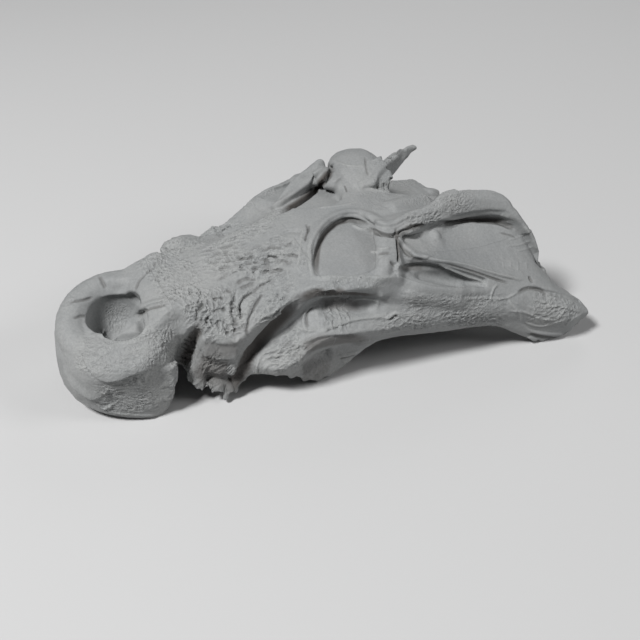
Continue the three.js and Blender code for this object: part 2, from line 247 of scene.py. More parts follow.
def pull(moves):
    """Draws the stone across the camera's view: (radius, right, up, marks), in millimetres."""
    spots, normals = places(stone.data), places(stone.data, "normal")
    shift = numpy.zeros_like(spots)
    for radius, right, up, marks in moves:
        touch = reach_of(spots, normals, marks, radius)
        shift += touch[:, None] * numpy.array(to_right * right + to_top * up) / 1000
    put(spots + shift)


def hashed(cells, seed):
    """A number from 0 to 1 for each whole-numbered cell."""
    x, y, z = (cells[:, i].astype("i8") for i in range(3))
    n = (x * 73856093) ^ (y * 19349663) ^ (z * 83492791) ^ (seed * 2654435761)
    n = (n ^ (n >> 13)) * 1274126177 & 0xFFFFFFFF
    n = (n ^ (n >> 16)) * 668265263 & 0xFFFFFFFF
    return ((n ^ (n >> 15)) & 0xFFFFFF) / float(0xFFFFFF)


def clouds(points, seed):
    """Soft noise from -1 to 1, one blob to a unit."""
    cell = numpy.floor(points)
    part = points - cell
    part = part * part * (3 - 2 * part)
    total = 0
    for corner in range(8):
        step = numpy.array([corner & 1, corner >> 1 & 1, corner >> 2 & 1])
        share = numpy.prod(numpy.where(step, part, 1 - part), axis=1)
        total = total + share * hashed(cell + step, seed)
    return total * 2 - 1


def cells(points, seed):
    """How far each point is from the wall between two cells, one cell to a unit."""
    home = numpy.floor(points)
    near = numpy.full(len(points), 9.0)
    second = numpy.full(len(points), 9.0)
    for i in range(27):
        next_home = home + numpy.array([i % 3, i // 3 % 3, i // 9]) - 1
        spot = next_home + numpy.stack([hashed(next_home, seed + k) for k in range(3)], 1)
        gap = numpy.sqrt(((spot - points) ** 2).sum(1))
        second = numpy.minimum(second, numpy.maximum(near, gap))
        near = numpy.minimum(near, gap)
    return second - near


def wrinkle(zones, size, height, run=None, stretch=3, seed=1, both_sides=False):
    """Covers zones of (width, marks) with a net of thin ridges, `size` millimetres apart and
    drawn out along `run`, a direction in the frame."""
    spots, normals = places(stone.data), places(stone.data, "normal")
    touch = numpy.zeros(len(spots))
    for other_side in (False, True) if both_sides else (False,):
        for width, marks in zones:
            touch = numpy.maximum(touch, reach_of(spots, normals, marks, width, other_side, 0.5))
    inside = (touch > 0).nonzero()[0]
    points = spots[inside] * 1000.0 / size
    if run:
        way = numpy.array(to_right * run[0] + to_top * run[1])
        way /= numpy.linalg.norm(way)
        points -= (points @ way)[:, None] * way * (1 - 1 / stretch)
    warp, warp_size, wall, crest, floor_level, patch = 0.8, 2.2, 0.42, 1.5, 0.3, 14
    points += numpy.stack([clouds(points / warp_size, seed + k) for k in range(3)], 1) * warp
    walls = numpy.clip(1 - cells(points, seed + 3) / wall, 0, 1) ** crest
    fade = 0.65 + 0.5 * clouds(spots[inside] * 1000.0 / patch, seed + 7)
    heights = numpy.zeros(len(spots))
    heights[inside] = touch[inside] * (walls - floor_level) * fade * height / 1000
    wear_of[:] = numpy.maximum(wear_of, touch)
    put(spots + normals * heights[:, None], heights)


def soften_at(zones, rounds):
    """Smooths away what stands up in zones of (width, marks)."""
    spots, normals = places(stone.data), places(stone.data, "normal")
    touch = numpy.zeros(len(spots))
    for width, marks in zones:
        touch = numpy.maximum(touch, reach_of(spots, normals, marks, width, False, 0.3))
    group = stone.vertex_groups.new(name="soft")
    levels = 5
    for level in range(1, levels + 1):
        above = touch > level / (levels + 1)
        below = touch <= (level + 1) / (levels + 1) + (level == levels)
        group.add((above & below).nonzero()[0].tolist(), level / levels, "REPLACE")
    bpy.context.view_layer.objects.active = stone
    relax = stone.modifiers.new("relax", "SMOOTH")
    relax.vertex_group = "soft"
    relax.factor = 0.5
    relax.iterations = round(rounds * (full_grain / grain) ** 2)
    bpy.ops.object.modifier_apply(modifier="relax")
    stone.vertex_groups.remove(stone.vertex_groups["soft"])


pull([
    (11, 0, -4, [(98, 290), (112, 288), (130, 290)]),
    (12, -1, -4, [(104, 333), (120, 336), (136, 334)]),
    (10, 6, -1, [(139, 312), (141, 322), (140, 330)]),
    (8, 5, 2, [(132, 296), (136, 300)]),
    (16, 0, 5, [(106, 270), (116, 268), (128, 266)]),
    (14, 3, -3, [(66, 292), (74, 284), (82, 278)]),
    (9, 0, 4, [(178, 240)]),
    (15, 8, 0, [(168, 362), (170, 374), (169, 386)]),
])
carve([
    ((9, 1.6), -8, [(102, 333), (110, 337), (124, 338), (135, 336), (142, 329), (143, 320),
        (140, 314)]),
    ((1.6, 6), 2.0, [(98, 331), (110, 338), (124, 340), (137, 338), (145, 330), (146, 319)]),
])
feel_again()
carve([
    (9, 1.4, [(104, 280), (118, 280), (131, 279)]),
    (3, -1.3, [(97, 272), (101, 279), (106, 289)]),
    (3.5, -1.2, [(156, 266), (147, 273), (139, 281), (135, 291)]),
    ((8, 2.2), 2.8, [(137, 313), (142, 309), (150, 305), (158, 303), (168, 301)]),
    ((1.4, 4), -1.6, [(138, 317), (143, 312), (150, 308), (158, 306), (168, 304)]),
    (2.6, -1.6, [(70, 303), (76, 301), (84, 300), (93, 298)]),
    (2.4, -1.3, [(74, 318), (82, 316), (87, 316)]),
    ((14, 2.4), 3.2, [(84, 358), (90, 368), (97, 376), (106, 381), (118, 380), (130, 375),
        (142, 370), (158, 366)]),
    ((2, 8), -2.4, [(106, 384), (114, 384), (126, 380), (138, 375)]),
    ((12, 2.0), 3.0, [(64, 366), (70, 380), (79, 391), (90, 398), (101, 399)]),
    (3, 1.8, [(95, 403), (104, 408), (114, 405)]),
    (2.6, 1.6, [(101, 396), (107, 392)]),
    (2.4, 1.0, [(108, 411), (125, 414), (145, 415), (160, 415)]),
])
carve([(30, -5, [(96, 400), (120, 396), (150, 390), (170, 372)])])
feel_again()
wrinkle([(34, [(95, 398), (130, 395), (165, 385)])], 3.0, 1.4, (1, 0.06), 3.5, 5, True)
wrinkle([(26, [(74, 345), (105, 356), (150, 350), (170, 335)])], 3.6, 1.3, (1, 0), 3.2, 8, True)
wrinkle([(20, [(184, 340), (178, 370), (168, 402)])], 3.6, 2.0, (-0.3, -1), 2.5, 9, True)
soften_at([(11, [(122, 328), (130, 324)])], 160)
wrinkle([(20, [(105, 320), (120, 318), (130, 322)])], 3.6, 0.5, None, 1, 11, True)
wrinkle([(18, [(158, 328), (166, 345), (172, 366)])], 4.2, 1.9, (-0.2, -1), 2, 13, True)


# Face.
# The cheek overhangs two bulges of the tooth-bearing border; a deep groove parts the bulges.


def paint_shade(zones):
    """Paints dark shade into zones of (width, strength, marks), where shade falls on the stone."""
    spots, normals = places(stone.data), places(stone.data, "normal")
    for width, strength, marks in zones:
        touch = reach_of(spots, normals, marks, width, False, 0.3)
        painted_shade_of[:] = numpy.maximum(painted_shade_of, strength * touch)
    put(spots)


pull([
    (16, 0, -5, [(334, 288), (350, 286), (366, 284), (380, 282)]),
    (22, 0, -5, [(225, 398), (212, 394), (235, 396)]),
    (18, -2, -6, [(262, 378), (275, 378), (290, 380)]),
    (14, 0, -5, [(330, 382), (342, 378)]),
    (20, 0, 4, [(160, 256), (150, 262)]),
    (34, 1, -9, [(214, 230), (228, 223), (242, 216), (256, 208), (270, 199)]),
    (16, -2, -10, [(188, 368), (198, 376), (207, 384)]),
    (10, 5, -3, [(166, 374), (168, 388), (166, 400)]),
    (20, -3, 7, [(350, 368), (365, 358), (378, 348)]),
])
carve([
    (14, 8, [(202, 348), (220, 353), (238, 352)]),
    (22, -9, [(204, 382), (220, 386), (236, 380)]),
    (13, -6, [(318, 306), (340, 306), (362, 306), (378, 306)]),
    (16, 7, [(366, 290), (382, 291), (400, 291), (420, 293), (445, 297), (470, 300)]),
    (10, -8, [(232, 392), (242, 372), (252, 350), (268, 332), (284, 315), (300, 302)]),
    (9, -4, [(286, 305), (300, 297), (318, 292), (340, 293)]),
    (11, -9, [(182, 366), (188, 350), (194, 338), (202, 328)]),
    (10, 3, [(264, 356), (280, 348), (296, 338)]),
    (12, -5, [(300, 372), (318, 358), (334, 352)]),
])
pull([
    (5, -2, -6, [(185, 374)]),
    (6, -2, -7, [(198, 384)]),
    (7, -2, -7, [(208, 392)]),
    (5, 0, -5, [(222, 397)]),
    (5, 0, -5, [(233, 396)]),
    (5, 0, -5, [(293, 380)]),
    (4, 0, -4, [(273, 379)]),
    (5, 0, -4, [(315, 380)]),
])
feel_again()
# main ridges and pits of the cheek
carve([
    ((1.8, 4.5), -1.1, [(208, 258), (218, 254), (230, 253)]),
    ((1.8, 4.5), -1.1, [(226, 262), (240, 258), (254, 257)]),
    ((1.8, 4.5), -1.1, [(238, 268), (248, 264), (258, 262)]),
    ((1.8, 5), -1.4, [(284, 246), (290, 243), (296, 246)]),
    ((1.8, 5), -1.4, [(262, 272), (272, 269), (284, 270)]),
    ((1.8, 5), -1.4, [(288, 256), (294, 254), (300, 257)]),
    ((1.8, 4), -1.5, [(213, 300), (218, 298), (225, 299)]),
    ((1.8, 4), -1.5, [(212, 312), (220, 309), (228, 311)]),
    ((1.8, 4), -1.5, [(214, 324), (221, 321), (228, 323)]),
    ((3, 1.6), -2.4, [(241, 318), (240, 310), (241, 303), (245, 297), (252, 293), (260, 293)]),
    (5, 1.6, [(246, 316), (248, 306), (253, 298)]),
    ((1.6, 3), -2.4, [(263, 294), (258, 301), (254, 308), (249, 318), (247, 330), (249, 336)]),
    ((3, 1.8), 1.6, [(266, 288), (256, 292), (248, 292), (241, 298), (237, 308), (237, 320)]),
    ((3, 1.8), -1.5, [(273, 280), (263, 284), (253, 291)]),
    ((1.8, 3), -1.6, [(236, 290), (234, 300), (232, 312), (235, 325), (233, 338)]),
    (2.5, 1.4, [(230, 292), (229, 305), (229, 318), (231, 332)]),
    (2.2, 1.3, [(272, 292), (268, 303), (262, 312), (254, 322)]),
    (2.2, 1.4, [(284, 300), (276, 309), (266, 316), (257, 323)]),
    (2.2, 1.4, [(290, 299), (283, 308), (275, 316), (266, 322)]),
    (2.6, -1.8, [(252, 274), (256, 269), (261, 265)]),
    ((1.8, 5), -2.0, [(266, 264), (266, 259), (270, 256), (281, 258)]),
    ((1.8, 5), -1.4, [(276, 266), (281, 261), (290, 262)]),
    ((2, 7), -2.2, [(271, 242), (272, 238), (279, 237), (286, 240)]),
    ((2, 8), -2.0, [(279, 235), (286, 231), (295, 230), (303, 232)]),
    ((1.8, 5), -1.4, [(263, 250), (270, 247), (282, 248)]),
    ((1.8, 5), -1.4, [(236, 284), (242, 279), (250, 278), (256, 280)]),
    ((1.8, 5), -1.1, [(239, 288), (247, 285), (255, 282)]),
    ((1.8, 5), -1.1, [(222, 292), (228, 291), (234, 292)]),
    ((1.8, 5), -1.1, [(214, 272), (224, 267), (236, 265)]),
    ((1.8, 5), -1.0, [(218, 280), (228, 274), (240, 272)]),
    (2, -1.8, [(306, 224), (308, 230), (306, 236), (305, 243)]),
    (2, -1.2, [(309, 226), (308, 232)]),
    (2.2, 1.2, [(303, 228), (301, 240), (300, 254), (298, 268)]),
    (2.2, 1.0, [(294, 238), (293, 248), (290, 256)]),
    (2.2, 1.2, [(310, 240), (309, 252), (310, 264), (312, 276)]),
    (2.5, 1.4, [(199, 318), (203, 312), (206, 305)]),
    (3, -2.2, [(196, 322), (198, 312), (203, 304)]),
    (3, -2.2, [(206, 324), (208, 316)]),
    (2.5, 1.2, [(222, 335), (228, 338), (236, 342), (240, 336)]),
    (3, -1.6, [(224, 330), (230, 333)]),
])
wrinkle([(30, [(164, 262), (178, 280), (184, 305)])], 4.8, 2.6, None, 1, 21, True)
wrinkle([(16, [(190, 300), (198, 318), (202, 332)])], 4.8, 2.8, (0.2, -1), 1.5, 25, True)
wrinkle([(28, [(212, 285), (220, 305), (224, 325), (228, 340)])], 5.4, 2.5, (0.15, -1),
    1.4, 31, True)
wrinkle([(26, [(206, 255), (235, 262), (262, 258), (292, 250)])], 5.6, 2.8, (1, 0.25),
    2.2, 35, True)
wrinkle([(22, [(204, 240), (240, 232), (280, 222)])], 4.6, 1.0, (1, 0.25), 2.2, 37, True)
wrinkle([(18, [(268, 290), (282, 284), (296, 280)])], 4.0, 2.0, (1, 0.75), 3, 41, True)
wrinkle([(16, [(252, 322), (270, 312), (282, 302), (292, 296)])], 4.4, 3.2, (1, 1), 2.5, 45, True)
wrinkle([(34, [(200, 360), (212, 375), (225, 385)])], 3.6, 1.9, (0.8, 0.8), 3.5, 51, True)
wrinkle([(24, [(235, 385), (246, 370), (256, 350)])], 3.2, 1.1, (0.8, 0.9), 4, 53, True)
feel_again()
# the second bulge, with a whorl of ridges
carve([
    (2.2, 1.6, [(318, 304), (309, 308), (304, 316), (304, 326), (309, 334)]),
    (2.2, -1.4, [(314, 306), (308, 311), (306, 319), (308, 328)]),
    (2.0, 1.2, [(328, 306), (331, 316), (330, 326), (324, 333)]),
    (2.0, 1.2, [(334, 306), (339, 315), (341, 326), (338, 333)]),
    (2.0, 1.1, [(342, 310), (348, 318), (349, 328)]),
    (2.4, 1.5, [(257, 377), (257, 368), (260, 358), (268, 352), (280, 350)]),
    (2.2, 1.3, [(264, 370), (270, 364), (282, 364), (290, 360)]),
    (2.2, 1.2, [(262, 362), (270, 357), (282, 356)]),
    (2.4, 1.4, [(285, 352), (296, 348), (306, 342), (314, 337)]),
    (2.2, 1.2, [(298, 330), (297, 342), (299, 352), (300, 365)]),
    (2.4, 1.4, [(296, 326), (306, 331), (316, 330)]),
    (2.0, 1.0, [(270, 342), (284, 336), (296, 332)]),
    ((2.2, 8), -3.5, [(308, 346), (316, 340), (328, 337), (345, 336), (360, 334)]),
    (2.6, 1.6, [(350, 299), (362, 298), (372, 299), (378, 303), (376, 308)]),
    ((5, 2), 1.6, [(322, 332), (340, 325), (356, 320), (372, 318), (388, 317)]),
    ((4, 1.6), 1.8, [(386, 320), (392, 316), (396, 314), (401, 317)]),
    (1.8, -1.4, [(389, 320), (394, 316), (398, 315)]),
    (3, 1.8, [(340, 356), (350, 354), (358, 352)]),
    (2.4, 1.5, [(342, 362), (350, 360), (357, 358)]),
    (2.0, -1.2, [(340, 359), (348, 357), (357, 355)]),
    (4, 2.2, [(362, 341), (368, 340)]),
])
wrinkle([(18, [(322, 318), (336, 318), (350, 322)])], 4.8, 2.0, (0.3, -1), 2.6, 61, True)
wrinkle([(20, [(268, 366), (290, 350), (306, 336)])], 4.2, 1.6, (1, 0.5), 2.6, 63, True)
wrinkle([(26, [(290, 372), (312, 362), (334, 358)])], 3.5, 1.2, (1, 0.2), 2, 65, True)
wrinkle([(12, [(312, 295), (335, 295), (358, 296)])], 3.5, 1.4, (1, 0), 2.5, 67, True)
wrinkle([(14, [(236, 300), (246, 304), (256, 306)])], 4.2, 1.2, (0.4, 1), 2, 47, True)
wrinkle([(16, [(300, 236), (300, 252), (298, 270)])], 3.4, 1.1, (0.1, 1), 2.6, 69, True)
wrinkle([(9, [(322, 282), (345, 282), (372, 282), (390, 283)])], 3, 1.0, (0, 1), 2.5, 71, True)
soften_at([(14, [(170, 240), (186, 241), (202, 239)])], 160)
feel_again()
# painted shade on the notch, the groove between the bulges, the first bulge's undercut flank, the
# recess under the eye's overhang and the underside of the second bulge
paint_shade([
    (9, 0.8, [(184, 368), (189, 350), (194, 338), (200, 326)]),
    (12, 0.85, [(226, 394), (240, 372), (250, 352), (262, 335), (280, 318), (296, 303)]),
    (12, 0.45, [(202, 348), (220, 352), (240, 346)]),
    (26, 0.62, [(198, 360), (212, 372), (230, 374)]),
    (7, 0.8, [(298, 300), (318, 293), (340, 293), (362, 294), (376, 296)]),
    (10, 0.45, [(320, 304), (340, 304), (362, 305)]),
    (13, 0.6, [(304, 354), (316, 346), (335, 342), (352, 340), (368, 340)]),
    (24, 0.35, [(282, 380), (305, 376), (330, 372)]),
])

# Cheek bar, brow, table and jaw joint.
# A flat-floored eye socket, a smooth bar behind it, the overhanging edge of the table above a
# smooth wall, and the thin lower bar that ends in the flared joint.


def weather(size, height, seed):
    """Roughens the whole stone with soft lumps of that size and height, in millimetres."""
    spots, normals = places(stone.data), places(stone.data, "normal")
    points = spots * 1000.0 / size
    heights = (clouds(points, seed) + 0.5 * clouds(points * 2.1, seed + 1)) * height / 1000
    put(spots + normals * heights[:, None], heights * 0.5)


pull([
    (20, 0, 7, [(326, 168), (320, 174)]),
    (10, -6, 5, [(392, 166), (400, 160), (408, 152)]),
    (24, 0, 6, [(430, 195), (445, 195), (460, 195)]),
    (24, 0, -5, [(508, 206), (520, 216), (530, 232)]),
    (20, -2, -12, [(538, 250), (545, 262), (554, 280)]),
    (20, 0, -6, [(480, 332), (492, 334), (500, 336)]),
    (24, -3, 4, [(586, 320), (596, 326)]),
    (16, 0, 5, [(545, 340), (560, 338)]),
])
pull([(12, 6, 1, [(384, 170), (388, 180)]), (8, 0, 5, [(379, 163)]), (10, -3, 2, [(412, 150)])])
pull([(10, 5, -7, [(280, 200), (296, 188), (310, 176), (321, 167)])])
soften_at([(12, [(322, 186), (332, 190), (344, 192)]), (22, [(384, 284), (396, 284),
    (410, 290)])], 420)
soften_at([(15, [(284, 206), (298, 196), (314, 184)]), (9, [(345, 212), (362, 214), (378, 220),
    (392, 222)])], 260)
soften_at([(13, [(364, 222), (380, 228), (396, 232)]), (13, [(372, 164), (379, 174),
    (384, 184)])], 200)
soften_at([(11, [(402, 236), (403, 252), (404, 266)])], 260)
feel_again()
carve([
    ((9, 2.5), 2.2, [(313, 276), (311, 262), (311, 250), (314, 238), (321, 227), (331, 218),
        (344, 213), (358, 213), (370, 219)]),
    ((2.5, 5), -3.2, [(316, 274), (315, 262), (317, 248), (321, 238), (329, 228), (340, 221),
        (352, 219), (366, 223)]),
    ((2.2, 6), 2.2, [(314, 277), (330, 277), (350, 277), (372, 277), (392, 277)]),
    ((2, 3), 1.8, [(353, 225), (361, 229), (369, 229)]),
    (3, 2.0, [(377, 249), (384, 249), (391, 248)]),
    (2.4, 2.0, [(373, 252), (377, 253)]),
    (2.4, -1.6, [(378, 254), (385, 253), (391, 253)]),
    (1.8, -5, [(396, 230), (397, 240), (398, 250), (399, 262)]),
    (2.2, -2, [(392, 262), (396, 264)]),
    ((2.4, 10), -4, [(398, 262), (396, 270), (397, 275)]),
])
# edge of the table and the wall under it
carve([
    (10, -4, [(415, 275), (440, 279), (464, 285)]),
    (16, 7, [(386, 209), (402, 205), (416, 202), (430, 199)]),
    (9, 4, [(404, 232), (418, 230), (432, 229), (446, 228)]),
    ((20, 22), 3, [(506, 303), (526, 305), (550, 309), (574, 314)]),
])
carve([
    ((14, 2.2), 3, [(362, 213), (372, 221), (383, 226), (392, 226), (402, 221), (412, 216)]),
    ((10, 2.2), 1.2, [(362, 214), (372, 221), (383, 227), (392, 228), (402, 224), (412, 218),
        (425, 213), (440, 211)]),
    ((2.2, 6), -5.5, [(372, 229), (383, 233), (394, 234), (404, 230), (412, 226), (424, 225)]),
    ((2.5, 4), -7, [(446, 223), (458, 221), (472, 219), (486, 218), (498, 219), (506, 222)]),
    ((3, 5), -5, [(474, 220), (486, 220), (500, 222), (512, 227)]),
    ((6, 2.5), 2.2, [(440, 219), (455, 218), (470, 215), (486, 213), (500, 214), (511, 219)]),
    (12, 2.2, [(436, 236), (437, 240)]),
    (7, 2.4, [(434, 234), (436, 237)]),
    ((10, 2), 2.0, [(398, 236), (404, 246), (414, 255), (424, 258), (432, 256)]),
    ((2, 5), -2.5, [(399, 243), (406, 251), (415, 258), (424, 260)]),
    ((4, 1.8), 2.6, [(424, 258), (438, 261), (452, 263), (468, 266), (484, 271), (502, 276),
        (520, 280)]),
    ((1.8, 2.6), -2.2, [(446, 264), (462, 268), (478, 273), (496, 279), (508, 283)]),
    ((2.6, 1.8), 2.0, [(440, 265), (452, 270), (466, 276), (480, 281), (488, 287)]),
    ((2, 9), -4, [(398, 268), (410, 265), (425, 264), (438, 266), (450, 271), (464, 278),
        (478, 284)]),
    ((2.0, 9), 3.4, [(398, 277), (412, 282), (430, 287), (450, 289), (470, 289), (486, 288)]),
])
carve([
    (1.8, 0.6, [(508, 240), (516, 238), (526, 234)]),
    (1.8, 0.6, [(506, 246), (518, 245), (530, 241)]),
    (1.8, 0.6, [(516, 251), (526, 249), (534, 246)]),
    (1.6, -1.0, [(500, 233), (512, 236), (519, 240)]),
    (3, 1.4, [(524, 226), (530, 234), (534, 242), (537, 251)]),
    (1.8, 0.4, [(503, 262), (504, 270)]),
    (1.8, 0.4, [(510, 260), (511, 268)]),
    (1.8, 0.4, [(518, 262), (518, 271)]),
    (1.8, 0.4, [(526, 262), (527, 270)]),
    (3, -2, [(530, 278), (532, 282)]),
])
wrinkle([(16, [(404, 222), (416, 217), (428, 215), (442, 215)])], 3.6, 2.2, (0.9, 0.6), 2.2, 81)
wrinkle([(12, [(446, 204), (458, 206), (470, 204)])], 4.5, 1.2, None, 1, 83)
wrinkle([(20, [(360, 206), (400, 202), (440, 200), (480, 198)])], 4.5, 0.5, (1, 0), 4, 85, True)
feel_again()
# the flared joint
carve([
    ((9, 1.6), 1.6, [(520, 290), (534, 287), (546, 290), (556, 292), (570, 297), (584, 304),
        (591, 312), (589, 321), (578, 329), (566, 333), (548, 333), (530, 330), (521, 322)]),
    ((2.2, 6), -3.2, [(530, 333), (545, 336), (560, 336), (574, 332)]),
    ((6, 2), 2.0, [(528, 336), (536, 340), (548, 339), (560, 337)]),
    ((2.5, 4), -1.6, [(518, 294), (524, 289), (534, 288), (544, 292), (546, 299)]),
    (2, 1.3, [(490, 303), (491, 296), (494, 288), (498, 285)]),
    (2, 1.2, [(491, 298), (500, 299), (509, 297), (518, 292)]),
    (2, 1.1, [(466, 299), (480, 298), (490, 298)]),
    (2, 1.2, [(508, 299), (513, 306), (520, 313), (522, 322)]),
    (2, 1.2, [(510, 311), (524, 312), (540, 318), (556, 320)]),
    (2, 1.2, [(524, 322), (540, 326), (556, 322), (570, 318)]),
    (2, 1.2, [(544, 308), (556, 306), (566, 308), (580, 312)]),
    (2, 1.2, [(556, 320), (562, 313), (566, 306), (562, 299)]),
    (2, 1.1, [(534, 300), (546, 303), (552, 310)]),
    (2, 1.0, [(548, 298), (556, 299), (562, 303)]),
    (1.8, 0.9, [(528, 306), (536, 310), (546, 311)]),
    (1.8, 1.0, [(566, 324), (574, 318), (583, 313)]),
])
wrinkle([(24, [(530, 305), (560, 311), (580, 316)])], 5.2, 1.4, (1, 0.2), 1.6, 91, True)
wrinkle([(20, [(396, 302), (430, 306), (470, 308), (510, 310)])], 4.8, 1.1, (1, -0.1),
    2.4, 93, True)
wrinkle([(14, [(370, 326), (400, 325), (450, 320), (515, 322)])], 4.0, 1.7, (1, 0.1), 2, 95, True)
# far side
carve([
    ((8, 4), 5, [(270, 211), (284, 202), (298, 191), (311, 180), (323, 168)]),
    ((2, 7), -9, [(282, 211), (294, 205), (307, 196), (319, 185), (328, 174), (331, 165)]),
    ((8, 6), 4, [(371, 188), (377, 175), (387, 164), (400, 154)]),
    ((4, 2), 1.8, [(338, 163), (346, 166), (354, 167), (366, 167)]),
    (1.8, -1.2, [(365, 157), (366, 166), (368, 176)]),
    (1.6, -1.6, [(345, 186), (347, 192)]),
    (1.6, -1.4, [(376, 183), (378, 190)]),
    (1.6, -1.4, [(384, 184), (385, 190)]),
    (3, 1.4, [(371, 190), (390, 192), (410, 190)]),
    ((3, 1.6), 1.2, [(318, 208), (340, 206), (360, 202)]),
])
wrinkle([(12, [(370, 186), (384, 184), (396, 182)])], 3.2, 1.6, (0.3, 1), 2, 97)
feel_again()
# painted shade in the gap beside the far rim, the slit and shadow under the table's eave, the crack
# before the wall, the dark corner of the lower temporal opening and the inner band of the eye
# socket's rim
paint_shade([
    (7, 0.95, [(284, 212), (298, 204), (310, 195), (320, 184), (328, 174), (331, 166)]),
    (4, 0.7, [(456, 222), (472, 220), (488, 220), (502, 222)]),
    (3, 0.6, [(396, 230), (397, 240), (398, 250), (399, 260)]),
    (5, 0.5, [(400, 268), (410, 268), (424, 267)]),
    (4, 0.5, [(317, 268), (318, 248), (324, 235), (336, 224), (352, 220)]),
    (3, 0.5, [(404, 228), (414, 226), (424, 224)]),
])
weather(7, 0.16, 201)
weather(2.6, 0.07, 211)

# Fossil bone.
# Grey stone with a fine grain and a slightly duller face where the surface is rough; painted shade
# darkens the pits and painted highlight lightens the ridges, and a dark painted shade fills the
# deep recesses.
bone = bpy.data.materials.new("fossil_bone")
bone.use_nodes = True
nodes, links = bone.node_tree.nodes, bone.node_tree.links
shader = nodes["Principled BSDF"]
shader.inputs["Specular IOR Level"].default_value = 0.4


def node(kind, settings=None, **inputs):
    made = nodes.new("ShaderNode" + kind)
    for name, value in (settings or {}).items():
        setattr(made, name, value)
    for name, value in inputs.items():
        by_number = name[0] == "i" and name[1:].isdigit()
        socket = made.inputs[int(name[1:]) if by_number else name]
        if isinstance(value, bpy.types.NodeSocket):
            links.new(value, socket)
        else:
            socket.default_value = value
    return made


where = node("TexCoord").outputs["Object"]
broad = node("TexNoise", Vector=where, Scale=14.0, Detail=4.0, Roughness=0.6).outputs["Fac"]
speckle = node("TexNoise", Vector=where, Scale=420.0, Detail=3.0, Roughness=0.7).outputs["Fac"]
height = node("Attribute", {"attribute_name": "relief"}).outputs["Fac"]
worn = node("Attribute", {"attribute_name": "wear"}).outputs["Fac"]
base = node("ValToRGB", i0=broad)
dark_stone, pale_stone = base.color_ramp.elements
dark_stone.position, dark_stone.color = 0.32, (0.215, 0.222, 0.224, 1)
pale_stone.position, pale_stone.color = 0.68, (0.262, 0.266, 0.264, 1)
smooth = {"interpolation_type": "SMOOTHSTEP"}
# painted shade and painted highlight: the relief darkens the colour in hollows and lightens it on
# ridges
depth = node("MapRange", smooth, i0=height, i1=-1.6, i2=1.2, i3=0.0, i4=1.0)
shade = node("ValToRGB", i0=depth.outputs[0])
shade.color_ramp.elements[0].color = (0.62, 0.61, 0.60, 1)
shade.color_ramp.elements[1].color = (1.14, 1.14, 1.13, 1)
shade.color_ramp.elements.new(0.57).color = (1, 1, 1, 1)
times = {"blend_type": "MULTIPLY"}
with_relief_shading = node("MixRGB", times, i0=1.0, i1=base.outputs[0], i2=shade.outputs[0])
grains = node("MapRange", i0=speckle, i1=0.3, i2=0.7, i3=0.9, i4=1.1)
flecked = node("MixRGB", times, i0=1.0, i1=with_relief_shading.outputs[0], i2=grains.outputs[0])
# painted shade: a near-black colour laid into the zones marked for painted shade
painted_shade_amount = node("Attribute", {"attribute_name": "matrix"}).outputs["Fac"]
with_painted_shade = node("MixRGB", i0=painted_shade_amount, i1=flecked.outputs[0], i2=(0.05, 0.043, 0.038, 1))
links.new(with_painted_shade.outputs[0], shader.inputs["Base Color"])
dull = node("MapRange", i0=broad, i1=0.3, i2=0.7, i3=0.56, i4=0.74)
links.new(dull.outputs[0], shader.inputs["Roughness"])
drift = node("TexNoise", Vector=where, Scale=70.0, Detail=2.0)
bent = node("MixRGB", {"blend_type": "ADD"}, i0=0.012, i1=where, i2=drift.outputs["Color"])
pores = node("TexVoronoi", {"feature": "DISTANCE_TO_EDGE"}, Vector=bent.outputs[0], Scale=290.0)
lines = node("MapRange", i0=pores.outputs["Distance"], i1=0.0, i2=0.28, i3=1.0, i4=0.0)
strength = node("MapRange", i0=worn, i1=0.0, i2=1.0, i3=0.06, i4=0.75)
raised = node("Math", {"operation": "MULTIPLY"}, i0=lines.outputs[0], i1=strength.outputs[0])
both = node("Math", {"operation": "MULTIPLY_ADD"}, i0=speckle, i1=0.12, i2=raised.outputs[0])
bump = node("Bump", Height=both.outputs[0], Strength=0.7, Distance=0.0007)
links.new(bump.outputs[0], shader.inputs["Normal"])

# Resting points.
# The border of the snout tip and the tips of the throat wings, on which the skull lies. They are
# worn flat enough to touch the floor.
floor_gap, blend_height = 0.00002, 0.03
settled = places(stone.data).astype("f8")
lowest = settled[:, 2].min()
near_floor = numpy.clip(1 - (settled[:, 2] - lowest) / blend_height, 0, 1)
settled[:, 2] -= (lowest - floor_gap) * near_floor
put(settled)

# Premaxillae.
# The swollen snout tip, both sides fused round the nostril. It ends behind at the notch for the
# great tooth of the lower jaw, along a butt suture with the cheek bones.
far = 0.5
any_way = (-far, far)
notch_y = -0.164
seam = 0.00006


def block(spans, tight=seam):
    """A cutting block over spans of x, y and z, drawn in by half a suture."""
    bpy.ops.object.select_all(action="DESELECT")
    bpy.ops.mesh.primitive_cube_add(size=1, location=[sum(span) / 2 for span in spans])
    made = bpy.context.object
    made.scale = [span[1] - span[0] - 2 * tight for span in spans]
    bpy.ops.object.transform_apply(location=True, rotation=True, scale=True)
    return made


def cut(piece, operation, cutter):
    chisel = piece.modifiers.new("chisel", "BOOLEAN")
    chisel.operation = operation
    chisel.solver = "MANIFOLD"
    chisel.object = cutter
    bpy.ops.object.select_all(action="DESELECT")
    piece.select_set(True)
    bpy.context.view_layer.objects.active = piece
    bpy.ops.object.modifier_apply(modifier="chisel")
    bpy.data.objects.remove(cutter)


